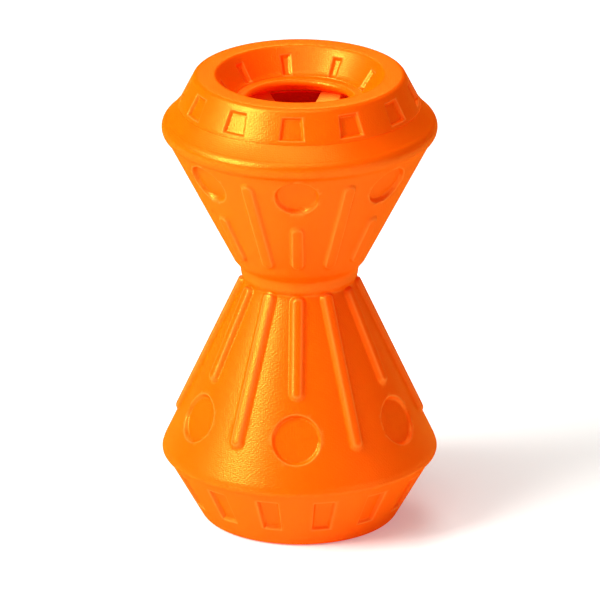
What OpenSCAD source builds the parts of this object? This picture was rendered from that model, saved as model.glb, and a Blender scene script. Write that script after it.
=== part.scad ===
// Rubber chew toy: a hollow hourglass shell that holds treats, with a bowl shaped mouth at each end.
// The shell and its two end caps are bonded at the creases beside the flanges. Behind each mouth a
// gate ring is trapped between shell and cap, and carries six springy prongs that hold treats in.
// The front of the toy faces -Y, and every azimuth is measured from the front towards +X.

/* [Overall] */
// Height of the toy from rim to rim
toy_h = 125; // [120:0.5:135]
// Height of the neck's lower edge above the base
neck_rise = 68.2; // [64:0.1:70]

/* [Flanges] */
// Widest diameter of the upper flange
upper_flange_d = 73.5; // [70:0.5:80]
// Distance from the top plane down to the middle of the upper flange
upper_flange_drop = 14.8; // [14:0.1:17]
// Radius of the upper flange's rounded bead
upper_flange_round = 3; // [2:0.1:3.4]
// Widest diameter of the lower flange
lower_flange_d = 74; // [72:0.5:80]
// Radius of the lower flange's edge
lower_flange_round = 1.5; // [1.2:0.1:2.2]

/* [Shell] */
// Outer diameter of the neck
neck_d = 31.4; // [30.6:0.1:34]
// Height of the neck between the two cones
neck_h = 4.2; // [3.4:0.1:5]
// Radius of the hollow curve between the neck and the upper cone
neck_fillet = 4.35; // [4:0.05:6]
// Diameter of the upper cone where it meets the neck
upper_cone_d = 34.4; // [34.2:0.1:36]
// Diameter of the lower cone where it meets the neck
lower_cone_d = 28.6; // [27.6:0.1:30]
// Thickness of the cones' walls, measured level
cone_wall = 5.8; // [4.6:0.1:6.4]
// Diameter of the bore through the neck
neck_bore_d = 20; // [17:0.5:21]
// Diameter of the two treat chambers at their wide ends
chamber_d = 48; // [46:0.5:50]

/* [End caps] */
// Height of the upper cap's band, from its seam to the top plane
upper_band_h = 8.7; // [8.2:0.1:9.2]
// Diameter at the seam between the upper cap and the flange
upper_seam_d = 64.6; // [63:0.1:66]
// Lean of the upper band from upright, in degrees
upper_band_lean = 28; // [26:0.5:30]
// Height of the lower cap's band, from the base to its seam
lower_band_h = 17.8; // [17.2:0.1:18.6]
// Diameter at the seam between the lower cap and the flange
lower_seam_d = 71.8; // [71:0.1:72]
// Diameter at which the lower band's line would meet the base plane
lower_base_d = 51.7; // [51:0.1:53]
// Radius of the rounding at the top rim's outer edge
rim_round = 1.8; // [1.4:0.1:2]
// Radius of the rounding at the base's outer edge
foot_round = 2.5; // [2:0.1:2.8]

/* [Mouths] */
// Diameter of the bowl at its ledge
ledge_d = 34.8; // [34:0.1:36]
// Depth of the ledge below the rim
ledge_depth = 7; // [6.4:0.1:7.4]
// Lean of the bowl's wall from upright, in degrees
bowl_lean = 35.7; // [33:0.1:37]
// Radius of the rounding between the bowl's wall and the rim
bowl_edge_round = 1.2; // [0.8:0.1:1.4]
// Diameter of the opening inside the ledge's lip
lip_d = 28.2; // [27:0.1:29]
// Radius of the lip's rounded edge
lip_round = 1; // [0.8:0.1:1.1]
// Diameter of the throat behind the lip
throat_d = 35; // [34:0.1:35.6]

/* [Gates] */
// Depth of a gate ring's outer face below its rim
gate_depth = 10.9; // [10.7:0.1:11.3]
// Thickness of a gate ring
gate_t = 3; // [2.8:0.1:3.2]
// Outer diameter of the socket that holds a gate ring
socket_d = 56.4; // [54.5:0.1:57]
// Width of the tab on the ring that a prong is hinged to
tab_w = 2.4; // [2:0.1:2.6]
// Width of one prong
prong_w = 7; // [6.6:0.1:7.6]
// Thickness of one prong
prong_t = 2; // [1.6:0.1:2.2]
// Length of one prong from its hinge to its tip
prong_l = 11.1; // [10:0.1:11.6]
// Distance of the hinges from the toy's centre line
hinge_r = 18.6; // [18.4:0.1:19]
// Slope of a resting prong towards the inside, in degrees
prong_slope = 13; // [10:1:20]

/* [Relief] */
// Diameter of the round recesses on the upper cone
upper_dimple_d = 12.4; // [10:0.1:13]
// Diameter of the round recesses on the lower cone
lower_dimple_d = 13.8; // [11:0.1:15]
// Depth of the round recesses
dimple_depth = 1.25; // [0.8:0.05:1.6]
// Width of a round recess's sloping wall
dimple_wall = 1.4; // [1:0.1:2]
// Radius of the ribs' rounded backs
rib_round = 2.3; // [1.8:0.1:2.6]
// Height of the ribs on the upper cone
upper_rib_h = 0.75; // [0.5:0.05:1.2]
// Height of the ribs on the lower cone
lower_rib_h = 1.25; // [0.8:0.05:1.5]
// Depth of the pockets in both bands and in the bowls
pocket_depth = 0.8; // [0.5:0.05:1.2]

/* [Hidden] */
$fn = 64;

// Clearances and cut overruns
bond_gap = 0.05;
prong_gap = 0.35;
hinge_pin_gap = 0.05;
cut_over = 2;

// Angles of the rounded flange edges, from level, and steps of each drawn arc
upper_bead_start = -58;
lower_edge_start = -42;
neck_fillet_sweep = 44;
arc_steps = 8;

// Front azimuths and counts of the repeated features, in degrees
upper_relief_phase = -1.3;
upper_relief_step = 48;
upper_rib_phase = -0.6;
lower_relief_phase = -1.6;
lower_relief_count = 6;
upper_pocket_phase = -3.8;
upper_pocket_count = 12;
upper_pocket_arc = 12.2;
lower_pocket_phase = -14.4;
lower_pocket_count = 14;
lower_pocket_arc = 10;
bowl_pocket_phase = 190.5;
bowl_pocket_count = 9;
bowl_pocket_arc = 8.2;
prong_count = 6;
prong_phase = 33.5;
undercut_lean = 55;

// Places of the pockets along their bands, as shares of the band's own height
upper_pocket_from_share = 0.15;
upper_pocket_to_share = 0.86;
lower_pocket_from_share = 0.26;
lower_pocket_to_share = 0.86;
bowl_pocket_from_share = 0.23;
bowl_pocket_to_share = 0.98;

// Radius of a hinge pin as a share of the prong's thickness, and of a tab's eye as a share of the ring's
hinge_pin_r_share = 0.35;
tab_r_share = 0.4;

// Places of the dimples and ribs along the cones, measured from the neck
upper_dimple_rise = 28.8;
upper_short_rib_from = 6.1;
upper_short_rib_to = 17.3;
upper_long_rib_from = 5.8;
upper_long_rib_to = 30.8;
lower_dimple_fall = 35.8;
lower_short_rib_from = 2.7;
lower_short_rib_to = 24.6;
lower_long_rib_from = 2.1;
lower_long_rib_to = 37.7;
neck_lip = 0.3;

// Heights of the seams, flanges and gates
upper_seam_z = toy_h - upper_band_h;
upper_flange_z = toy_h - upper_flange_drop;
lower_flange_z = lower_band_h + bond_gap - lower_flange_round * sin(lower_edge_start);
neck_top_z = neck_rise + neck_h;
upper_gate_z = toy_h - gate_depth - gate_t / 2;
lower_gate_z = gate_depth + gate_t / 2;

// Radii worked out from the diameters
neck_r = neck_d / 2;
upper_cone_r = upper_cone_d / 2;
lower_cone_r = lower_cone_d / 2;
chamber_r = chamber_d / 2;
socket_r = socket_d / 2;
spigot_r = socket_r - bond_gap;
throat_r = throat_d / 2;
lip_r = lip_d / 2;
ledge_r = ledge_d / 2;
upper_bead_centre = [upper_flange_d / 2 - upper_flange_round, upper_flange_z];
lower_edge_centre = [lower_flange_d / 2 - lower_flange_round, lower_flange_z];
knuckle_r = prong_t / 2;
hinge_pin_r = hinge_pin_r_share * prong_t;
tab_r = tab_r_share * gate_t;
tab_slot_w = tab_w + 2 * prong_gap;

// Points along an arc about a centre, from one angle to another
function arc_points(centre, radius, from, to) =
    [for (i = [0:arc_steps]) let (a = from + (to - from) * i / arc_steps) centre + radius * [cos(a), sin(a)]];

// Angle at which a line from a point touches a circle, on the side that sign picks
function touch_angle(point, centre, radius, sign) =
    let (reach = point - centre)
    atan2(reach[1], reach[0]) + sign * acos(radius / norm(reach));

// Point a share of the way from one point to another
function between(a, b, share) = a + (b - a) * share;

// Cone lines of the shell as [radius, height] pairs, from the neck outwards
upper_cone_start = [upper_cone_r, neck_top_z];
upper_cone_end = upper_bead_centre + upper_flange_round * [cos(upper_bead_start), sin(upper_bead_start)];
lower_cone_start = [lower_cone_r, neck_rise];
lower_touch = touch_angle(lower_cone_start, lower_edge_centre, lower_flange_round, -1);
lower_cone_end = lower_edge_centre + lower_flange_round * [cos(lower_touch), sin(lower_touch)];
upper_seam_point = [upper_seam_d / 2, upper_seam_z];
upper_touch = touch_angle(upper_seam_point, upper_bead_centre, upper_flange_round, -1);

// Point on a cone line at a height, by linear run between its ends
function on_line(start, end, z) = between(start, end, (z - start[1]) / (end[1] - start[1]));
// Height on a cone line where it reaches a radius
function height_at(start, end, r) = between(start, end, (r - start[0]) / (end[0] - start[0]))[1];

// Outline of a mouth as [radius, depth below the rim], from the flat rim in to the throat
wall_slope = tan(bowl_lean);
edge_touch_depth = bowl_edge_round * (1 - sin(bowl_lean));
bowl_edge_r = ledge_r + (ledge_depth - edge_touch_depth) * wall_slope + bowl_edge_round * cos(bowl_lean);
lip_centre = [lip_r + lip_round, ledge_depth + lip_round];
undercut_start = lip_centre + lip_round * [-cos(undercut_lean), sin(undercut_lean)];
undercut_depth = undercut_start[1] + (throat_r - undercut_start[0]) / tan(undercut_lean);
mouth_outline = concat(
    arc_points([bowl_edge_r, bowl_edge_round], bowl_edge_round, -90, -180 + bowl_lean),
    [[ledge_r, ledge_depth]],
    arc_points(lip_centre, lip_round, 270, 180 - undercut_lean),
    [[throat_r, undercut_depth]]);
bowl_top_point = [bowl_edge_r - bowl_edge_round * cos(bowl_lean), edge_touch_depth];
bowl_low_point = [ledge_r, ledge_depth];

// Band lines of the caps as [radius, height] pairs
upper_band_low = [upper_seam_d / 2, upper_seam_z + bond_gap];
rim_touch_z = toy_h - rim_round * (1 - sin(upper_band_lean));
upper_band_high = [upper_seam_d / 2 - (rim_touch_z - upper_seam_z) * tan(upper_band_lean), rim_touch_z];
rim_centre = upper_band_high - rim_round * [cos(upper_band_lean), sin(upper_band_lean)];
lower_band_high = [lower_seam_d / 2, lower_band_h];
lower_band_lean = atan((lower_seam_d - lower_base_d) / 2 / lower_band_h);
foot_touch_z = foot_round * (1 - sin(lower_band_lean));
lower_band_low = [lower_seam_d / 2 - (lower_band_h - foot_touch_z) * tan(lower_band_lean), foot_touch_z];
foot_centre = lower_band_low - foot_round * [cos(lower_band_lean), -sin(lower_band_lean)];

// Turns a shape drawn at +X to an azimuth measured from the front
module at_azimuth(azimuth) {
    rotate([0, 0, azimuth - 90]) children();
}

// Rounded rib that stands proud of a cone between two points on the cone's line
module cone_rib(low, high, proud) {
    run = high - low;
    normal = [run[1], -run[0]] / norm(run);
    seat = low + normal * (proud - rib_round);
    translate([seat[0], 0, seat[1]])
        rotate([0, atan2(run[0], run[1]), 0]) {
            cylinder(h = norm(run), r = rib_round);
            sphere(r = rib_round);
            translate([0, 0, norm(run)]) sphere(r = rib_round);
        }
}

// Round recess with a sloping wall, cut square to a cone line
module cone_dimple(low, high, z, diameter) {
    run = high - low;
    normal = [run[1], -run[0]] / norm(run);
    place = on_line(low, high, z) - normal * dimple_depth;
    growth = dimple_wall / dimple_depth;
    translate([place[0], 0, place[1]])
        rotate([0, atan2(normal[0], normal[1]), 0])
            cylinder(h = dimple_depth + cut_over, r1 = diameter / 2 - dimple_wall,
                r2 = diameter / 2 + cut_over * growth);
}

// Recessed pocket that follows a band's own cone: low and high lie on the band's line
module band_pocket(low, high, arc, inwards) {
    floor_step = [inwards * pocket_depth, 0];
    open_step = [-inwards * cut_over, 0];
    rotate([0, 0, -arc / 2])
        rotate_extrude(angle = arc)
            polygon([low + floor_step, low + open_step, high + open_step, high + floor_step]);
}

// Hollow hourglass with two flanges, a socket above, a spigot below, ribs and round recesses
module hourglass_body() {
    lower_face_z = lower_band_h + bond_gap;
    spigot_z = gate_depth + gate_t + bond_gap;
    shoulder_z = toy_h - gate_depth - gate_t - bond_gap;
    section = concat(
        [[chamber_r, spigot_z], [spigot_r, spigot_z], [spigot_r, lower_face_z]],
        arc_points(lower_edge_centre, lower_flange_round, lower_edge_start, lower_touch),
        [lower_cone_start, [neck_r, neck_rise]],
        arc_points([neck_r + neck_fillet, neck_rise + neck_lip], neck_fillet, 180, 180 - neck_fillet_sweep),
        [upper_cone_start],
        arc_points(upper_bead_centre, upper_flange_round, upper_bead_start, upper_touch),
        [upper_seam_point, [socket_r, upper_seam_z], [socket_r, shoulder_z], [chamber_r, shoulder_z],
            [chamber_r, height_at(upper_cone_start, upper_cone_end, chamber_r + cone_wall)],
            [neck_bore_d / 2, height_at(upper_cone_start, upper_cone_end, neck_bore_d / 2 + cone_wall)],
            [neck_bore_d / 2, height_at(lower_cone_start, lower_cone_end, neck_bore_d / 2 + cone_wall)],
            [chamber_r, height_at(lower_cone_start, lower_cone_end, chamber_r + cone_wall)]]);
    color("orange")
        difference() {
            union() {
                rotate_extrude() polygon(section);
                upper_ribs();
                lower_ribs();
            }
            upper_dimples();
            lower_dimples();
        }
}

// Azimuths of the upper cone's recesses: three at the front and three at the back
function upper_relief_azimuths() =
    [for (side = [0, 180], k = [-1:1]) side + upper_relief_phase + k * upper_relief_step];

module upper_dimples() {
    for (azimuth = upper_relief_azimuths())
        at_azimuth(azimuth)
            cone_dimple(upper_cone_start, upper_cone_end, neck_top_z + upper_dimple_rise, upper_dimple_d);
}

module upper_ribs() {
    for (azimuth = upper_relief_azimuths())
        at_azimuth(azimuth)
            cone_rib(on_line(upper_cone_start, upper_cone_end, neck_top_z + upper_short_rib_from),
                on_line(upper_cone_start, upper_cone_end, neck_top_z + upper_short_rib_to), upper_rib_h);
    for (side = [0, 180], k = [-0.5, 0.5])
        at_azimuth(side + upper_rib_phase + k * upper_relief_step)
            cone_rib(on_line(upper_cone_start, upper_cone_end, neck_top_z + upper_long_rib_from),
                on_line(upper_cone_start, upper_cone_end, neck_top_z + upper_long_rib_to), upper_rib_h);
}

module lower_dimples() {
    for (k = [0:lower_relief_count - 1])
        at_azimuth(lower_relief_phase + k * 360 / lower_relief_count)
            cone_dimple(lower_cone_end, lower_cone_start, neck_rise - lower_dimple_fall, lower_dimple_d);
}

module lower_ribs() {
    for (k = [0:lower_relief_count - 1]) {
        at_azimuth(lower_relief_phase + k * 360 / lower_relief_count)
            cone_rib(on_line(lower_cone_start, lower_cone_end, neck_rise - lower_short_rib_to),
                on_line(lower_cone_start, lower_cone_end, neck_rise - lower_short_rib_from), lower_rib_h);
        at_azimuth(lower_relief_phase + (k + 0.5) * 360 / lower_relief_count)
            cone_rib(on_line(lower_cone_start, lower_cone_end, neck_rise - lower_long_rib_to),
                on_line(lower_cone_start, lower_cone_end, neck_rise - lower_long_rib_from), lower_rib_h);
    }
}

// Nine narrow pockets around a bowl's wall, drawn for the upper mouth
module bowl_pockets(rim_z) {
    low = between(bowl_top_point, bowl_low_point, bowl_pocket_to_share);
    high = between(bowl_top_point, bowl_low_point, bowl_pocket_from_share);
    for (k = [0:bowl_pocket_count - 1])
        at_azimuth(bowl_pocket_phase + k * 360 / bowl_pocket_count)
            band_pocket([low[0], rim_z - low[1]], [high[0], rim_z - high[1]], bowl_pocket_arc, 1);
}

// Upper cap: a band with twelve square pockets, the rim, the bowl and a plug for the shell's socket
module upper_end_cap() {
    face_z = toy_h - gate_depth + bond_gap;
    section = concat(
        [[throat_r, face_z], [spigot_r, face_z], [spigot_r, upper_band_low[1]], upper_band_low],
        arc_points(rim_centre, rim_round, upper_band_lean, 90),
        [for (p = mouth_outline) [p[0], toy_h - p[1]]]);
    color("orange")
        difference() {
            rotate_extrude() polygon(section);
            for (k = [0:upper_pocket_count - 1])
                at_azimuth(upper_pocket_phase + k * 360 / upper_pocket_count)
                    band_pocket(between(upper_band_low, upper_band_high, upper_pocket_from_share),
                        between(upper_band_low, upper_band_high, upper_pocket_to_share),
                        upper_pocket_arc, -1);
            bowl_pockets(toy_h);
        }
}

// Lower cap: a taller band with fourteen pockets, the same bowl upside down and a socket for the shell
module lower_end_cap() {
    face_z = gate_depth - bond_gap;
    section = concat(
        [[throat_r, face_z], [socket_r, face_z], [socket_r, lower_band_h], lower_band_high],
        arc_points(foot_centre, foot_round, -lower_band_lean, -90),
        mouth_outline);
    color("orange")
        difference() {
            rotate_extrude() polygon(section);
            for (k = [0:lower_pocket_count - 1])
                at_azimuth(lower_pocket_phase + k * 360 / lower_pocket_count)
                    band_pocket(between(lower_band_low, lower_band_high, lower_pocket_from_share),
                        between(lower_band_low, lower_band_high, lower_pocket_to_share),
                        lower_pocket_arc, -1);
            mirror([0, 0, 1]) bowl_pockets(0);
        }
}

// Tab at +X that reaches in from the ring, with a round eye about the hinge line
module hinge_tab() {
    reach = (chamber_r + spigot_r) / 2 - hinge_r;
    translate([hinge_r, 0, 0])
        rotate([90, 0, 0]) {
            cylinder(h = tab_w, r = tab_r, center = true);
            translate([0, -tab_r, -tab_w / 2]) cube([reach, 2 * tab_r, tab_w]);
        }
}

// Flat ring, flush with the chamber's wall, with a hinge tab for each prong, about its own middle height
module gate_ring() {
    difference() {
        union() {
            difference() {
                cylinder(h = gate_t, r = spigot_r, center = true);
                cylinder(h = gate_t + cut_over, r = chamber_r, center = true);
            }
            for (i = [1:prong_count]) at_prong(i) hinge_tab();
        }
        for (i = [1:prong_count])
            at_prong(i)
                translate([hinge_r, 0, 0])
                    rotate([90, 0, 0])
                        cylinder(h = tab_w + cut_over, r = hinge_pin_r + hinge_pin_gap, center = true);
    }
}

// One prong at +X: a tongue that slopes inwards, and a forked root whose pin crosses the ring's tab
module prong() {
    tongue_l = prong_l - prong_w / 2;
    translate([hinge_r, 0, 0])
        rotate([0, -prong_slope, 0]) {
            difference() {
                union() {
                    rotate([90, 0, 0]) cylinder(h = prong_w, r = knuckle_r, center = true);
                    translate([-tongue_l, -prong_w / 2, -prong_t / 2]) cube([tongue_l, prong_w, prong_t]);
                    translate([-tongue_l, 0, 0]) cylinder(h = prong_t, r = prong_w / 2, center = true);
                }
                rotate([90, 0, 0]) cylinder(h = tab_slot_w, r = tab_r + prong_gap, center = true);
            }
            rotate([90, 0, 0]) cylinder(h = (tab_slot_w + prong_w) / 2, r = hinge_pin_r, center = true);
        }
}

// Turns a shape to the place of prong i around the gate
module at_prong(i) {
    at_azimuth(prong_phase + (i - 1) * 360 / prong_count) children();
}

module upper_gate_ring() {
    color("darkorange") translate([0, 0, upper_gate_z]) gate_ring();
}

module lower_gate_ring() {
    color("darkorange") translate([0, 0, lower_gate_z]) gate_ring();
}

module upper_prong(i) {
    color("darkorange") translate([0, 0, upper_gate_z]) at_prong(i) prong();
}

module lower_prong(i) {
    color("darkorange") translate([0, 0, lower_gate_z]) mirror([0, 0, 1]) at_prong(i) prong();
}

hourglass_body();
upper_end_cap();
lower_end_cap();
upper_gate_ring();
lower_gate_ring();
for (i = [1:prong_count]) upper_prong(i);
for (i = [1:prong_count]) lower_prong(i);
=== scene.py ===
import math

import bpy
import numpy as np
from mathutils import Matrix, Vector


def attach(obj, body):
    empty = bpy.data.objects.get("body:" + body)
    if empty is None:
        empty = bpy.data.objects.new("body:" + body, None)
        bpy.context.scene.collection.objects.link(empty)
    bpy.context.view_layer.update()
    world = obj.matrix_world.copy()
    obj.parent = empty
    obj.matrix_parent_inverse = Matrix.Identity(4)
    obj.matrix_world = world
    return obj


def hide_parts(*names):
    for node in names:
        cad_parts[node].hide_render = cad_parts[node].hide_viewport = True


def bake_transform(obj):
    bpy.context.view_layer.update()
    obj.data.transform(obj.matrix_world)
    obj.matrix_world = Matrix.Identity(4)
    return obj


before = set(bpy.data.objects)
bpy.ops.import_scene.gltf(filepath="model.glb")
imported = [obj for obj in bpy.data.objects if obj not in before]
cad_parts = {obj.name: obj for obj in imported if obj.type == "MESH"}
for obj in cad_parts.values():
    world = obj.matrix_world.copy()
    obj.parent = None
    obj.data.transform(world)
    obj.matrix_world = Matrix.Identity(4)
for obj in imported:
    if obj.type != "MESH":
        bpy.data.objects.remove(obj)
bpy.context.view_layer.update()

# The shell is one hollow moulding of orange rubber: two cones that meet at a narrow neck, with a rounded
# flange above and a crisp one below. Long and short ribs run up the cones, and round recesses with sloping
# walls sit between them. Its outline is spun round the centre line, and the relief is pressed into it.
MM = 0.001
TOY_HEIGHT = 125
CREASE_ANGLE = math.radians(40)


def arc(centre_r, centre_z, radius, start, end, count):
    """Radius and height pairs along an arc. Angles are in degrees, up from level."""
    angles = np.radians(np.linspace(start, end, count + 1))
    return [(centre_r + radius * math.cos(a), centre_z + radius * math.sin(a)) for a in angles]


def run(start, end, spacing):
    """Radius and height pairs after the start of a straight run, and without its end."""
    length = math.dist(start, end)
    count = max(1, round(length / spacing))
    return [tuple(np.add(start, np.subtract(end, start) * k / count)) for k in range(1, count)]


def turned(name, outline, steps):
    """Draws a closed outline point by point and spins it round the centre line."""
    bpy.ops.object.select_all(action="DESELECT")
    bpy.ops.mesh.primitive_plane_add(size=MM, location=(0, 0, 0))
    piece = bpy.context.object
    piece.name = piece.data.name = name
    bpy.ops.object.mode_set(mode="EDIT")
    bpy.ops.mesh.select_mode(type="VERT")
    bpy.ops.mesh.select_all(action="SELECT")
    bpy.ops.mesh.merge(type="CENTER")
    here = (0, 0)
    for index, there in enumerate(outline + outline[:1]):
        step = ((there[0] - here[0]) * MM, 0, (there[1] - here[1]) * MM)
        if index == 0:
            bpy.ops.transform.translate(value=step)
        else:
            bpy.ops.mesh.extrude_vertices_move(TRANSFORM_OT_translate={"value": step})
        here = there
    bpy.ops.mesh.select_all(action="SELECT")
    bpy.ops.mesh.spin(steps=steps, angle=2 * math.pi, center=(0, 0, 0), axis=(0, 0, 1))
    bpy.ops.mesh.select_all(action="SELECT")
    bpy.ops.mesh.remove_doubles(threshold=0.004 * MM)
    bpy.ops.mesh.normals_make_consistent(inside=False)
    bpy.ops.object.mode_set(mode="OBJECT")
    return piece


def points_of(piece):
    """A piece's vertices in millimetres, and their normals."""
    mesh = piece.data
    places = np.empty(len(mesh.vertices) * 3)
    mesh.vertices.foreach_get("co", places)
    normals = np.empty(len(mesh.vertices) * 3, np.float32)
    mesh.vertex_normals.foreach_get("vector", normals)
    return places.reshape(-1, 3) / MM, normals.reshape(-1, 3)


def refine(piece, near, cuts):
    """Divides the faces whose centres lie near the relief into smaller ones."""
    bpy.ops.object.select_all(action="DESELECT")
    bpy.context.view_layer.objects.active = piece
    piece.select_set(True)
    bpy.ops.object.mode_set(mode="EDIT")
    bpy.ops.mesh.select_mode(type="FACE")
    bpy.ops.mesh.select_all(action="DESELECT")
    bpy.ops.object.mode_set(mode="OBJECT")
    centres = np.empty(len(piece.data.polygons) * 3)
    piece.data.polygons.foreach_get("center", centres)
    piece.data.polygons.foreach_set("select", near(centres.reshape(-1, 3) / MM))
    bpy.ops.object.mode_set(mode="EDIT")
    bpy.ops.mesh.subdivide(number_cuts=cuts)
    bpy.ops.object.mode_set(mode="OBJECT")


def emboss(piece, steps, height, painted_highlight):
    """Presses a relief into a piece, rounds its divided faces to the true circle and marks edges for a
    painted highlight.
    """
    places, normals = points_of(piece)
    # Relief edges are stored here for the painted highlight, a paler line in the colour.
    piece.data.attributes.new("painted_highlight", "FLOAT", "POINT").data.foreach_set("value", painted_highlight(places))
    radius = np.hypot(places[:, 0], places[:, 1])
    half = math.pi / steps
    turn = np.mod(np.arctan2(places[:, 1], places[:, 0]), 2 * half) - half
    swell = radius * (np.cos(turn) / math.cos(half) - 1)
    outward = (normals[:, 0] * places[:, 0] + normals[:, 1] * places[:, 1]) / radius
    move = height(places) + swell * outward
    least = 1e-6
    for group_name, sign in (("raised", 1), ("sunk", -1)):
        amount = np.maximum(sign * move, 0)
        most = amount.max()
        group = piece.vertex_groups.new(name=group_name)
        for index in np.flatnonzero(amount > least):
            group.add([int(index)], amount[index] / most, "REPLACE")
        press = piece.modifiers.new(group_name, "DISPLACE")
        press.vertex_group = group_name
        press.mid_level = 0
        press.strength = sign * most * MM
        bpy.ops.object.modifier_apply(modifier=group_name)
        piece.vertex_groups.remove(piece.vertex_groups[group_name])


def dress(piece, material, body, slot, *nodes):
    """Smooths a finished piece, gives it its material and sets it in the place of its CAD nodes."""
    bpy.ops.object.select_all(action="DESELECT")
    bpy.context.view_layer.objects.active = piece
    piece.select_set(True)
    bpy.ops.object.shade_smooth_by_angle(angle=CREASE_ANGLE)
    piece.data.materials.clear()
    piece.data.materials.append(material)
    if body:
        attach(piece, body)
    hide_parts(*nodes)


def soft_max(a, b, blend):
    """The larger of two heights, with a rounded inner corner where they meet."""
    near = np.maximum(blend - np.abs(a - b), 0) / blend
    return np.maximum(a, b) + near * near * blend / 4


def in_frame(places, low, high, azimuth, height):
    """Across, along and out from a point on a cone's line, and the share of the line's normal."""
    slope = np.subtract(high, low) / math.dist(low, high)
    foot = np.add(low, np.subtract(high, low) * (height - low[1]) / (high[1] - low[1]))
    turn = math.radians(azimuth)
    radial = np.array((math.sin(turn), -math.cos(turn), 0))
    across = np.array((math.cos(turn), math.sin(turn), 0))
    along = radial * slope[0] + np.array((0, 0, slope[1]))
    out = radial * slope[1] - np.array((0, 0, slope[0]))
    offset = places - (radial * foot[0] + np.array((0, 0, foot[1])))
    radius = np.hypot(places[:, 0], places[:, 1])
    share = slope[0] ** 2 + slope[1] ** 2 * (places @ radial) / radius
    return offset @ across, offset @ along, offset @ out, share


# A rib or a recess shapes only the places that face nearly its own way, and the painted highlight line on
# its edge is marked only close to its cone's line. A height or a depth that is FAR off the skin stands for
# no rib and no recess.
LEAST_SHARE = 0.6
EDGE_REACH = 1
FAR = 9
RIB_EDGE = 0.25
RECESS_EDGE = 0.17
FLOOR_ROUND = 0.12


def rib(places, cone, azimuth, start, end, half, wall, proud, crown):
    """Height that a rib with steep sides and a crowned back needs above a cone, and where its edge is."""
    across, along, out, share = in_frame(places, *cone, azimuth, start)
    length = (end - start) * math.dist(*cone) / (cone[1][1] - cone[0][1])
    beyond = np.maximum(np.maximum(-along, along - length), 0)
    spread = np.hypot(across, beyond)
    side = (half - spread) * (proud - crown) / wall
    back = proud - crown * np.minimum(spread / half, 1) ** 2
    facing = share > LEAST_SHARE
    edge = np.where(facing & (np.abs(out) < EDGE_REACH), np.exp(-((side - back) / RIB_EDGE) ** 2), 0)
    return np.where(facing, (np.minimum(side, back) - out) / share, -FAR), edge


def recess(places, cone, azimuth, height, radius, wall, depth):
    """Height of a round recess with a level floor, positive outside its rim, and where the rim is."""
    across, along, out, share = in_frame(places, *cone, azimuth, height)
    spread = np.hypot(across, along)
    floor = soft_max((spread - radius + wall) * depth / wall - depth, -depth, FLOOR_ROUND)
    facing = share > LEAST_SHARE
    edge = np.where(facing & (np.abs(out) < EDGE_REACH), np.exp(-((spread - radius) / RECESS_EDGE) ** 2), 0)
    return np.where(facing, (floor - out) / share, FAR), edge


SHELL_STEPS = 200
LOWER_CONE = ((36.34, 20.82), (14.30, 68.2))
UPPER_CONE = ((17.20, 72.4), (35.34, 107.66))
NECK_HEIGHT = 70
RELIEF_FROM = 19
RELIEF_TO = 111
LOWER_PLACES = [60 * k - 1.6 for k in range(6)]
UPPER_PLACES = [side + k * 48 - 1.3 for side in (0, 180) for k in (-1, 0, 1)]
LONG_UPPER_PLACES = [side + k - 0.6 for side in (0, 180) for k in (-24, 24)]
# Half width, width of the steep side, height and drop of the crowned back
LOWER_RIB = (2.1, 0.6, 1.25, 0.6)
UPPER_RIB = (1.95, 0.5, 0.9, 0.25)
RIB_FOOT_ROUND = 0.15
# Radius, width of the sloping wall and depth
LOWER_RECESS = (6.8, 0.8, 1.3)
UPPER_RECESS = (6.1, 0.75, 1.4)
RIM_ROUND = 0.3
# Distances between the points of the outline
OUTER_SPACING = 1.1
CHAMBER_SPACING = 3


def shell_parts(places):
    """Heights of the ribs and of the recesses of the shell at each place, and their edges."""
    ribs = [rib(places, LOWER_CONE, a, 43.6, 65.5, *LOWER_RIB) for a in LOWER_PLACES]
    ribs += [rib(places, LOWER_CONE, a + 30, 30.5, 66.1, *LOWER_RIB) for a in LOWER_PLACES]
    ribs += [rib(places, UPPER_CONE, a, 78.5, 89.7, *UPPER_RIB) for a in UPPER_PLACES]
    ribs += [rib(places, UPPER_CONE, a, 78.2, 103.2, *UPPER_RIB) for a in LONG_UPPER_PLACES]
    recesses = [recess(places, LOWER_CONE, a, 32.4, *LOWER_RECESS) for a in LOWER_PLACES]
    recesses += [recess(places, UPPER_CONE, a, 101.2, *UPPER_RECESS) for a in UPPER_PLACES]
    raised = np.max([part[0] for part in ribs], axis=0)
    sunk = np.min([part[0] for part in recesses], axis=0)
    return raised, sunk, np.max([part[1] for part in ribs + recesses], axis=0)


def cone_gap(cone, places):
    """How far outside a cone's line each place lies, measured level."""
    (low_r, low_z), (high_r, high_z) = cone
    line = low_r + (places[:, 2] - low_z) * (high_r - low_r) / (high_z - low_z)
    return np.hypot(places[:, 0], places[:, 1]) - line


def near_cones(places):
    """Tells which places lie beside one of the two cones, to 2 mm up or down."""
    reach = [2 * abs(high[0] - low[0]) / (high[1] - low[1]) for low, high in (LOWER_CONE, UPPER_CONE)]
    return ((np.abs(cone_gap(LOWER_CONE, places)) < reach[0])
            | (np.abs(cone_gap(UPPER_CONE, places)) < reach[1]))


def near_ribs(places):
    """Tells which places lie on a rib or just beside its foot."""
    return near_cones(places) & (shell_parts(places)[0] > -0.6)


def near_rims(places):
    """Tells which places lie on the wall of a round recess or just beside its rim."""
    sunk = shell_parts(places)[1]
    return near_cones(places) & (sunk < 0.7) & (sunk > -1.3)


def shell_relief(places):
    """Height of the relief on the shell's outer skin, between the two flanges."""
    raised, sunk, edge = shell_parts(places)
    height = places[:, 2]
    gap = np.where(height < NECK_HEIGHT, cone_gap(LOWER_CONE, places), cone_gap(UPPER_CONE, places))
    skin = (np.abs(gap) < 0.6) & (height > RELIEF_FROM) & (height < RELIEF_TO)
    return np.where(skin, soft_max(raised, 0, RIB_FOOT_ROUND) - soft_max(-sunk, 0, RIM_ROUND), 0)


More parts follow.
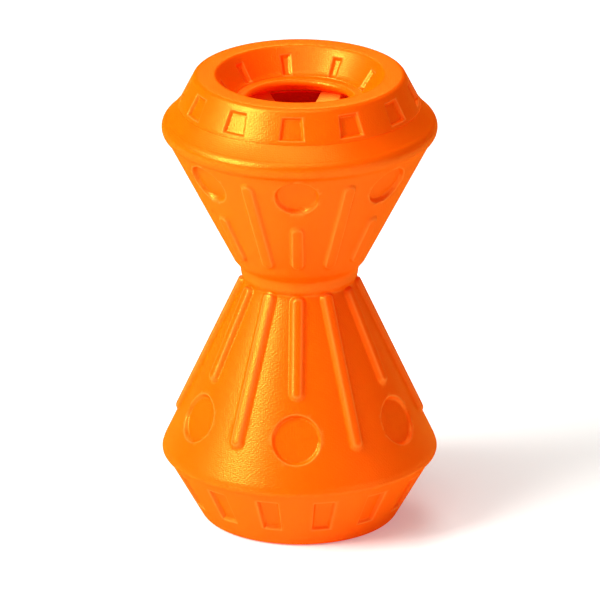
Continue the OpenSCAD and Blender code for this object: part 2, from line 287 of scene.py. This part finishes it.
lower_socket = [(24, 13.95), (28.15, 13.95), (28.15, 17.85), (35.9, 17.85)]
lower_edge = arc(35.4, 19.05, 1.5, -55, 10, 6) + arc(30.9, 18.29, 6.0, 12, 24.95, 3)
waist = [(15.02, 66.7), (14.95, 67.0), (14.97, 67.3), (15.1, 67.65), (15.32, 68.05), (15.5, 68.5),
         (15.63, 69.0)] + arc(20.05, 69.4, 4.35, 178, 136.5, 7)
upper_bead = arc(33.75, 110.2, 3.0, -58, 62, 18)
upper_socket = [(32.3, 116.3), (28.15, 116.3), (28.15, 111.05), (24, 111.05)]
chamber_wall = [(24, 111.05), (24, 94), (10, 69.5), (10, 64.5), (24, 34.5), (24, 13.95)]
shell_outline = (lower_socket + lower_edge + run(lower_edge[-1], waist[0], OUTER_SPACING) + waist
                 + run(UPPER_CONE[0], upper_bead[0], OUTER_SPACING) + upper_bead + upper_socket)
# Each run leaves out its ends, which blunts the chamber's corners
for start, end in zip(chamber_wall, chamber_wall[1:]):
    shell_outline += run(start, end, CHAMBER_SPACING)
shell = turned("shell_skin", shell_outline, SHELL_STEPS)
refine(shell, near_rims, 3)
refine(shell, near_ribs, 2)
emboss(shell, SHELL_STEPS, shell_relief, lambda at: shell_parts(at)[2])


# Moulded rubber has a fine pebbled skin that scatters the light, and a bloom that dulls it in patches. The
# edges of its relief carry a painted highlight, a paler line. Its gloss takes on some of the orange, and a
# red emission paints a glow that lifts the red in the shade.
def socket(tree, name, kind, inout, value=None):
    """Adds a named input or output to a shader node group."""
    made = tree.interface.new_socket(name=name, in_out=inout, socket_type=kind)
    if value is not None:
        made.default_value = value


pebble = bpy.data.node_groups.new("pebble_grain", "ShaderNodeTree")
socket(pebble, "Cell Scale", "NodeSocketFloat", "INPUT", 2200)
socket(pebble, "Depth", "NodeSocketFloat", "INPUT", 0.00006)
socket(pebble, "Strength", "NodeSocketFloat", "INPUT", 1)
socket(pebble, "Normal", "NodeSocketVector", "OUTPUT")
inputs = pebble.nodes.new("NodeGroupInput")
outputs = pebble.nodes.new("NodeGroupOutput")
place = pebble.nodes.new("ShaderNodeTexCoord")
cells = pebble.nodes.new("ShaderNodeTexVoronoi")
cells.feature = "SMOOTH_F1"
cells.inputs["Smoothness"].default_value = 0.4
cells.inputs["Randomness"].default_value = 0.5
swirl = pebble.nodes.new("ShaderNodeTexNoise")
swirl.inputs["Detail"].default_value = 2
half_scale = pebble.nodes.new("ShaderNodeMath")
half_scale.operation = "MULTIPLY"
half_scale.inputs[1].default_value = 0.5
total = pebble.nodes.new("ShaderNodeMath")
total.operation = "MULTIPLY_ADD"
total.inputs[1].default_value = 0.08
bump = pebble.nodes.new("ShaderNodeBump")
link = pebble.links.new
link(place.outputs["Object"], cells.inputs["Vector"])
link(place.outputs["Object"], swirl.inputs["Vector"])
link(inputs.outputs["Cell Scale"], cells.inputs["Scale"])
link(inputs.outputs["Cell Scale"], half_scale.inputs[0])
link(half_scale.outputs["Value"], swirl.inputs["Scale"])
link(swirl.outputs["Fac"], total.inputs[0])
link(cells.outputs["Distance"], total.inputs[2])
link(total.outputs["Value"], bump.inputs["Height"])
link(inputs.outputs["Depth"], bump.inputs["Distance"])
link(inputs.outputs["Strength"], bump.inputs["Strength"])
link(bump.outputs["Normal"], outputs.inputs["Normal"])

bloom_and_highlight = bpy.data.node_groups.new("rubber_bloom_and_highlight", "ShaderNodeTree")
socket(bloom_and_highlight, "Deep", "NodeSocketColor", "INPUT", (0.9, 0.12, 0, 1))
socket(bloom_and_highlight, "Bright", "NodeSocketColor", "INPUT", (1, 0.16, 0, 1))
# The paler colour along the relief's edges paints a highlight line.
socket(bloom_and_highlight, "Painted Highlight", "NodeSocketColor", "INPUT", (1, 0.42, 0.08, 1))
socket(bloom_and_highlight, "Painted Highlight Share", "NodeSocketFloat", "INPUT", 0.24)
socket(bloom_and_highlight, "Patch Scale", "NodeSocketFloat", "INPUT", 60)
socket(bloom_and_highlight, "Shiny", "NodeSocketFloat", "INPUT", 0.34)
socket(bloom_and_highlight, "Dull", "NodeSocketFloat", "INPUT", 0.46)
socket(bloom_and_highlight, "Color", "NodeSocketColor", "OUTPUT")
socket(bloom_and_highlight, "Roughness", "NodeSocketFloat", "OUTPUT")
inputs = bloom_and_highlight.nodes.new("NodeGroupInput")
outputs = bloom_and_highlight.nodes.new("NodeGroupOutput")
place = bloom_and_highlight.nodes.new("ShaderNodeTexCoord")
patch = bloom_and_highlight.nodes.new("ShaderNodeTexNoise")
patch.inputs["Detail"].default_value = 4
patch.inputs["Roughness"].default_value = 0.6
tone = bloom_and_highlight.nodes.new("ShaderNodeMix")
tone.data_type = "RGBA"
finish = bloom_and_highlight.nodes.new("ShaderNodeMapRange")
# The edge attribute mixes the paler colour in as a painted highlight.
edges = bloom_and_highlight.nodes.new("ShaderNodeAttribute")
edges.attribute_name = "painted_highlight"
paler = bloom_and_highlight.nodes.new("ShaderNodeMath")
paler.operation = "MULTIPLY"
painted_highlight_mix = bloom_and_highlight.nodes.new("ShaderNodeMix")
painted_highlight_mix.data_type = "RGBA"
link = bloom_and_highlight.links.new
link(place.outputs["Object"], patch.inputs["Vector"])
link(inputs.outputs["Patch Scale"], patch.inputs["Scale"])
link(patch.outputs["Fac"], tone.inputs["Factor"])
link(inputs.outputs["Deep"], tone.inputs["A"])
link(inputs.outputs["Bright"], tone.inputs["B"])
link(patch.outputs["Fac"], finish.inputs["Value"])
link(inputs.outputs["Shiny"], finish.inputs["To Min"])
link(inputs.outputs["Dull"], finish.inputs["To Max"])
link(edges.outputs["Fac"], paler.inputs[0])
link(inputs.outputs["Painted Highlight Share"], paler.inputs[1])
link(paler.outputs["Value"], painted_highlight_mix.inputs["Factor"])
link(tone.outputs["Result"], painted_highlight_mix.inputs["A"])
link(inputs.outputs["Painted Highlight"], painted_highlight_mix.inputs["B"])
link(painted_highlight_mix.outputs["Result"], outputs.inputs["Color"])
link(finish.outputs["Result"], outputs.inputs["Roughness"])


def rubber(name, deep, bright, shiny, dull, gloss, painted_glow):
    """A pebbled rubber with its own two tones, range of roughness, share of gloss and painted red glow."""
    material = bpy.data.materials.new(name)
    material.use_nodes = True
    nodes, links = material.node_tree.nodes, material.node_tree.links
    shader = nodes["Principled BSDF"]
    grain = nodes.new("ShaderNodeGroup")
    grain.node_tree = pebble
    grain.inputs["Cell Scale"].default_value = 2200
    grain.inputs["Depth"].default_value = 0.00006
    grain.inputs["Strength"].default_value = 1
    tones = nodes.new("ShaderNodeGroup")
    tones.node_tree = bloom_and_highlight
    tones.inputs["Deep"].default_value = deep
    tones.inputs["Bright"].default_value = bright
    tones.inputs["Shiny"].default_value = shiny
    tones.inputs["Dull"].default_value = dull
    links.new(tones.outputs["Color"], shader.inputs["Base Color"])
    links.new(tones.outputs["Roughness"], shader.inputs["Roughness"])
    links.new(grain.outputs["Normal"], shader.inputs["Normal"])
    shader.inputs["Specular IOR Level"].default_value = 0
    # A red emission, though the rubber is no lamp, is a painted glow that lifts the red in the shade.
    shader.inputs["Emission Color"].default_value = (1, 0, 0, 1)
    shader.inputs["Emission Strength"].default_value = painted_glow
    shader.inputs["Subsurface Weight"].default_value = 0.25
    shader.inputs["Subsurface Radius"].default_value = (1, 0.15, 0.05)
    shader.inputs["Subsurface Scale"].default_value = 0.003
    skin = nodes.new("ShaderNodeBsdfGlossy")
    skin.inputs["Color"].default_value = (1, 0.76, 0.1, 1)
    links.new(tones.outputs["Roughness"], skin.inputs["Roughness"])
    links.new(grain.outputs["Normal"], skin.inputs["Normal"])
    both = nodes.new("ShaderNodeMixShader")
    both.inputs["Fac"].default_value = gloss
    links.new(shader.outputs["BSDF"], both.inputs[1])
    links.new(skin.outputs["BSDF"], both.inputs[2])
    links.new(both.outputs["Shader"], nodes["Material Output"].inputs["Surface"])
    return material


# The red emission given to the body rubber is a painted glow.
orange_rubber = rubber("orange_rubber", (0.94, 0.106, 0.0, 1), (0.94, 0.12, 0.0005, 1),
                       shiny=0.26, dull=0.33, gloss=0.075, painted_glow=0.23)
# A darker copy of the rubber paints the shade inside the chamber.
chamber_rubber_painted_shade = rubber("chamber_rubber_painted_shade", (0.85, 0.05, 0.0, 1), (0.88, 0.06, 0.0, 1),
                        shiny=0.5, dull=0.6, gloss=0.02, painted_glow=0)
dress(shell, orange_rubber, "shell", "orange_rubber", "hourglass_body")

# The walls of the chamber, which face the centre line, get a darker and duller copy of the rubber without
# glow: painted shade inside the hollow.
shell.data.materials.append(chamber_rubber_painted_shade)
facing = np.empty(len(shell.data.polygons) * 3)
shell.data.polygons.foreach_get("normal", facing)
centres = np.empty(len(shell.data.polygons) * 3)
shell.data.polygons.foreach_get("center", centres)
inner = (facing * centres).reshape(-1, 3)[:, :2].sum(axis=1) < -0.1 * MM
shell.data.polygons.foreach_set("material_index", inner.astype(np.int32))

# Each end cap is a moulding of its own, bonded to the shell at the crease beside the flange. It holds a
# band of square pockets, the rim, and the bowl with nine narrow pockets round its wall. A flat ledge and a
# rounded lip with an undercut lead down to the gate.
CAP_STEPS = 240
BAND_REACH = 1.2
POCKET_EDGE = 0.15
POCKET_RIM_ROUND = 0.2


def pocket(places, low, high, azimuth, arc_width, wall, depth, share_from, share_to, taper=0):
    """Depth of a square-cornered pocket with sloping walls on a band between two points, and its edge."""
    length = math.dist(low, high)
    radius = np.hypot(places[:, 0], places[:, 1])
    turn = np.degrees(np.arctan2(places[:, 0], -places[:, 1])) - azimuth
    turn = np.abs(np.mod(turn + 180, 360) - 180)
    along = ((radius - low[0]) * (high[0] - low[0]) + (places[:, 2] - low[1]) * (high[1] - low[1])) / length
    sideways = radius * np.radians(arc_width / 2 * (1 - taper * along / length) - turn)
    off = np.abs((radius - low[0]) * (high[1] - low[1])
                 - (places[:, 2] - low[1]) * (high[0] - low[0])) / length
    inside = np.minimum(np.minimum(sideways, along - share_from * length), share_to * length - along)
    slope = depth / wall
    dip = -soft_max(-inside * slope, -depth, FLOOR_ROUND)
    return (np.where(off < BAND_REACH, dip, -FAR),
            np.where(off < BAND_REACH, np.exp(-(inside / POCKET_EDGE) ** 2), 0))


def deepest(made):
    """Joins pockets into one depth and one edge for each place."""
    return np.max([part[0] for part in made], axis=0), np.max([part[1] for part in made], axis=0)


def cap_skin(name, outline, pockets):
    """Spins a cap's outline and presses its pockets into it."""
    piece = turned(name, outline, CAP_STEPS)
    refine(piece, lambda at: np.abs(pockets(at)[0] - 0.3) < 0.75, 3)
    emboss(piece, CAP_STEPS, lambda at: -soft_max(pockets(at)[0], 0, POCKET_RIM_ROUND),
           lambda at: pockets(at)[1])
    return piece


BOWL_TOP = (22.08, 0.5)
BOWL_FOOT = (17.4, 7.0)
# Arc in degrees, width of the sloping wall, depth, the shares of the band's line between which the pocket
# lies, and how much narrower it gets along that line
BOWL_POCKET = (8.2, 0.8, 0.7, 0.02, 0.77)
BOWL_TURNS = [40 * k + 190.5 for k in range(9)]
UPPER_POCKET = (12.6, 0.6, 0.95, 0.13, 0.86, 0.18)
LOWER_POCKET = (10, 0.6, 1.0, 0.26, 0.86)


def mouth(rim_z, up):
    """Outline of the bowl, the ledge, the lip and the undercut, from the flat rim in to the throat."""
    down = (arc(23.05, 1.2, 1.2, 270, 215.7, 5) + run(BOWL_TOP, BOWL_FOOT, 0.8)
            + arc(16.9, 6.7, 0.3, 0, 60, 2) + run((17.0, 7.0), (15.1, 7.0), 0.5)
            + arc(15.1, 8.0, 1.0, 270, 125, 7) + [(17.5, 10.85)])
    return [(r, rim_z - up * depth) for r, depth in down]


upper_band = ((32.3, 116.35), (28.42, 124.05))
upper_outline = (
    [(17.5, 114.15), (28.15, 114.15), (28.15, 116.35), (32.2, 116.35)] + run(*upper_band, 0.8)
    + arc(26.83, 123.2, 1.8, 28, 90, 8) + run((26.83, TOY_HEIGHT), (23.05, TOY_HEIGHT), 1.0)
    + mouth(TOY_HEIGHT, 1))
upper_bowl = [(radius, TOY_HEIGHT - depth) for radius, depth in (BOWL_FOOT, BOWL_TOP)]


def upper_pockets(places):
    """The twelve pockets of the upper band, and the nine of its bowl."""
    return deepest([pocket(places, *upper_band, 30 * k - 3.8, *UPPER_POCKET) for k in range(12)]
                   + [pocket(places, *upper_bowl, turn, *BOWL_POCKET) for turn in BOWL_TURNS])


upper_cap = cap_skin("upper_cap_skin", upper_outline, upper_pockets)
dress(upper_cap, orange_rubber, "shell", "orange_rubber", "upper_end_cap")

lower_band = ((26.55, 1.27), (35.9, 17.8))
lower_outline = (
    [(17.5, 10.85), (28.2, 10.85), (28.2, 17.8), (35.8, 17.8)] + run(lower_band[1], lower_band[0], 0.9)
    + arc(24.37, 2.5, 2.5, -29.5, -90, 8) + mouth(0, -1))


def lower_pockets(places):
    """The fourteen pockets of the lower band, and the nine of its bowl."""
    return deepest([pocket(places, *lower_band, k * 360 / 14 - 14.4, *LOWER_POCKET) for k in range(14)]
                   + [pocket(places, BOWL_FOOT, BOWL_TOP, turn, *BOWL_POCKET) for turn in BOWL_TURNS])


lower_cap = cap_skin("lower_cap_skin", lower_outline, lower_pockets)
dress(lower_cap, orange_rubber, "shell", "orange_rubber", "lower_end_cap")

# A gate ring is trapped between the shell and each cap, flush with the wall of the chamber. Its six prongs
# are springy paddles of the same rubber. They spread where they leave the ring, drop steeply behind the
# throat, widen, and level out into a thin round tip.
RING_MIDDLE = 112.6
RING_HALF = 1.48
PRONG_COUNT = 6
PRONG_PHASE = 33.5

# The gate rubber's weak red emission is a painted glow as well.
gate_rubber = rubber("gate_rubber", (0.92, 0.25, 0.02, 1), (0.92, 0.29, 0.025, 1),
                     shiny=0.36, dull=0.44, gloss=0.22, painted_glow=0.05)

# Radius, height, half width and half thickness of a prong's cross-sections, from the root to the tip
PADDLE = [(25.6, 112.6, 4.6, 1.1), (24.8, 112.6, 4.2, 1.1), (24.0, 112.6, 3.85, 1.08),
          (23.2, 112.6, 3.6, 1.06), (22.4, 112.6, 3.4, 1.05), (21.6, 112.6, 3.28, 1.03),
          (20.8, 112.59, 3.2, 1.02), (20.1, 112.55, 3.15, 1.0), (19.5, 112.45, 3.12, 1.0),
          (18.9, 112.24, 3.12, 1.02), (18.3, 111.9, 3.14, 1.05), (17.7, 111.44, 3.18, 1.08),
          (17.1, 110.93, 3.26, 1.08), (16.5, 110.42, 3.37, 1.06), (15.9, 109.98, 3.5, 1.02),
          (15.2, 109.6, 3.62, 0.96), (14.4, 109.34, 3.72, 0.92), (13.5, 109.2, 3.78, 0.88),
          (12.6, 109.17, 3.8, 0.85), (11.7, 109.2, 3.78, 0.83), (10.9, 109.26, 3.7, 0.81),
          (10.2, 109.32, 3.48, 0.8), (9.6, 109.37, 3.16, 0.79), (9.1, 109.4, 2.76, 0.78),
          (8.7, 109.43, 2.34, 0.76), (8.4, 109.45, 1.92, 0.74), (8.15, 109.46, 1.44, 0.7),
          (8.0, 109.47, 0.95, 0.62), (7.93, 109.47, 0.5, 0.5)]
PADDLE_ROUND = 0.62


def prong_paddle():
    """Draws one prong above +X: a rounded cross-section, drawn out in steps from the ring to the tip."""
    r, z, half_width, half_depth = PADDLE[0]
    bpy.ops.object.select_all(action="DESELECT")
    bpy.ops.mesh.primitive_plane_add(size=2 * MM, location=(0, 0, 0))
    piece = bpy.context.object
    bpy.ops.object.mode_set(mode="EDIT")
    bpy.ops.mesh.select_mode(type="VERT")
    bpy.ops.mesh.select_all(action="SELECT")
    bpy.ops.transform.resize(value=(half_depth, half_width, 1))
    bpy.ops.mesh.bevel(offset=PADDLE_ROUND * MM, segments=4, affect="VERTICES")
    bpy.ops.mesh.select_all(action="SELECT")
    bpy.ops.transform.rotate(value=math.pi / 2, orient_axis="Y", center_override=(0, 0, 0))
    bpy.ops.transform.translate(value=(r * MM, 0, z * MM))
    before = PADDLE[0]
    for there in PADDLE[1:]:
        bpy.ops.mesh.select_mode(type="EDGE")
        bpy.ops.mesh.extrude_edges_move(
            TRANSFORM_OT_translate={"value": ((there[0] - before[0]) * MM, 0, (there[1] - before[1]) * MM)})
        bpy.ops.transform.resize(value=(1, there[2] / before[2], there[3] / before[3]),
                                 center_override=(there[0] * MM, 0, there[1] * MM))
        before = there
    bpy.ops.mesh.edge_face_add()
    bpy.ops.mesh.select_all(action="SELECT")
    bpy.ops.mesh.remove_doubles(threshold=0.002 * MM)
    bpy.ops.object.mode_set(mode="OBJECT")
    smooth = piece.modifiers.new("smooth", "SUBSURF")
    smooth.levels = smooth.render_levels = 2
    bpy.ops.object.modifier_apply(modifier="smooth")
    return piece


def place_paddles(first, end, upside_down):
    """Copies the prong to the six places of a gate."""
    for i in range(1, PRONG_COUNT + 1):
        azimuth = math.radians(PRONG_PHASE + 360 / PRONG_COUNT * (i - 1) - 90)
        bpy.ops.object.select_all(action="DESELECT")
        bpy.context.view_layer.objects.active = first
        first.select_set(True)
        bpy.ops.object.duplicate(linked=False)
        piece = bpy.context.object
        piece.name = piece.data.name = f"{end}_paddle_{i}"
        piece.rotation_euler = (0, 0, azimuth)
        if upside_down:
            piece.scale = (1, 1, -1)
            piece.location = (0, 0, TOY_HEIGHT * MM)
        bpy.ops.object.transform_apply(location=True, rotation=True, scale=True)
        bpy.ops.object.mode_set(mode="EDIT")
        bpy.ops.mesh.select_all(action="SELECT")
        bpy.ops.mesh.normals_make_consistent(inside=False)
        bpy.ops.object.mode_set(mode="OBJECT")
        dress(piece, gate_rubber, None, "gate_rubber", f"{end}_prong_{i}")
        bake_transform(piece)


def gate_skin(name, middle, node):
    """The ring itself, a flat band with softened edges."""
    low, high = middle - RING_HALF, middle + RING_HALF
    outline = ([(28.1, low), (28.1, high)] + arc(24.4, high - 0.4, 0.4, 90, 180, 4)
               + arc(24.4, low + 0.4, 0.4, 180, 270, 4))
    ring = turned(name, outline, 120)
    dress(ring, gate_rubber, "shell", "gate_rubber", node)


gate_skin("upper_gate_skin", RING_MIDDLE, "upper_gate_ring")
gate_skin("lower_gate_skin", TOY_HEIGHT - RING_MIDDLE, "lower_gate_ring")
paddle = prong_paddle()
place_paddles(paddle, "upper", False)
place_paddles(paddle, "lower", True)
bpy.data.objects.remove(paddle)

# The toy stands on a pale floor of matt paper, under soft studio light. The paper is lifted to white where
# it is seen, and keeps the toy's shadow.
bpy.ops.object.select_all(action="DESELECT")
bpy.ops.mesh.primitive_plane_add(size=6, location=(0, 0, 0))
floor = bpy.context.object
floor.name = floor.data.name = "floor"
paper = bpy.data.materials.new("paper")
paper.use_nodes = True
tree = paper.node_tree
sheet = tree.nodes["Principled BSDF"]
sheet.inputs["Base Color"].default_value = (0.87, 0.88, 0.84, 1)
sheet.inputs["Roughness"].default_value = 0.9
sheet.inputs["Specular IOR Level"].default_value = 0
sheet.inputs["Emission Color"].default_value = (1, 1, 1, 1)
path = tree.nodes.new("ShaderNodeLightPath")
seen = tree.nodes.new("ShaderNodeMath")
seen.operation = "MAXIMUM"
through = tree.nodes.new("ShaderNodeMath")
through.operation = "MAXIMUM"
lift = tree.nodes.new("ShaderNodeMath")
lift.operation = "MULTIPLY"
lift.inputs[1].default_value = 0.26
tree.links.new(path.outputs["Is Camera Ray"], seen.inputs[0])
tree.links.new(path.outputs["Is Glossy Ray"], seen.inputs[1])
tree.links.new(seen.outputs["Value"], through.inputs[0])
tree.links.new(path.outputs["Is Transmission Ray"], through.inputs[1])
tree.links.new(through.outputs["Value"], lift.inputs[0])
tree.links.new(lift.outputs["Value"], sheet.inputs["Emission Strength"])
floor.data.materials.append(paper)


# The wide key light and a softer one stand on the left. Weak lamps open the shade from above, from the
# right and from behind, and the world adds a little plain light all round.
LAMP_AIM = Vector((0, 0, 0.06))


def lamp(name, azimuth, elevation, width, height, power):
    """A soft lamp, a metre away, that faces the toy. Azimuth is from the front towards +X."""
    light = bpy.data.lights.new(name, "AREA")
    light.shape = "RECTANGLE"
    light.size = width
    light.size_y = height
    light.energy = power
    holder = bpy.data.objects.new(name, light)
    bpy.context.scene.collection.objects.link(holder)
    turn, rise = math.radians(azimuth), math.radians(elevation)
    away = Vector((math.sin(turn) * math.cos(rise), -math.cos(turn) * math.cos(rise), math.sin(rise)))
    holder.location = away + LAMP_AIM
    holder.rotation_euler = away.to_track_quat("Z", "Y").to_euler()


lamp("key_light", -62, 35, 0.45, 0.4, 11.5)
lamp("soft_light", -70, 45, 1.2, 1.0, 5.5)
lamp("top_light", 0, 70, 0.6, 0.6, 2.5)
lamp("fill_light", 50, 3, 0.8, 0.3, 0.9)
lamp("rim_light", 180, 45, 0.4, 0.4, 2.9)

world = bpy.data.worlds.new("studio")
bpy.context.scene.world = world
world.use_nodes = True
tree = world.node_tree
sky = tree.nodes["Background"]
sky.inputs["Color"].default_value = (1, 1, 1, 1)
sky.inputs["Strength"].default_value = 0.12

# The camera stands three metres off with a long lens, a little above the toy, and looks at its middle.
CAMERA_RISE = math.radians(20.98)
CAMERA_DISTANCE = 3.0
SHIFT_RIGHT = 0.00011
SHIFT_DOWN = 0.00184
lens = bpy.data.cameras.new("camera")
lens.lens = 672.7
lens.sensor_width = 36
lens.clip_start = 0.1
lens.clip_end = 50
camera = bpy.data.objects.new("camera", lens)
bpy.context.scene.collection.objects.link(camera)
up = Vector((0, math.sin(CAMERA_RISE), math.cos(CAMERA_RISE)))
back = Vector((0, -math.cos(CAMERA_RISE), math.sin(CAMERA_RISE)))
middle = Vector((SHIFT_RIGHT, 0, TOY_HEIGHT / 2 * MM))
camera.location = middle - up * SHIFT_DOWN + back * CAMERA_DISTANCE
camera.rotation_euler = (math.pi / 2 - CAMERA_RISE, 0, 0)
bpy.context.scene.camera = camera
bpy.context.scene.view_settings.view_transform = "Standard"
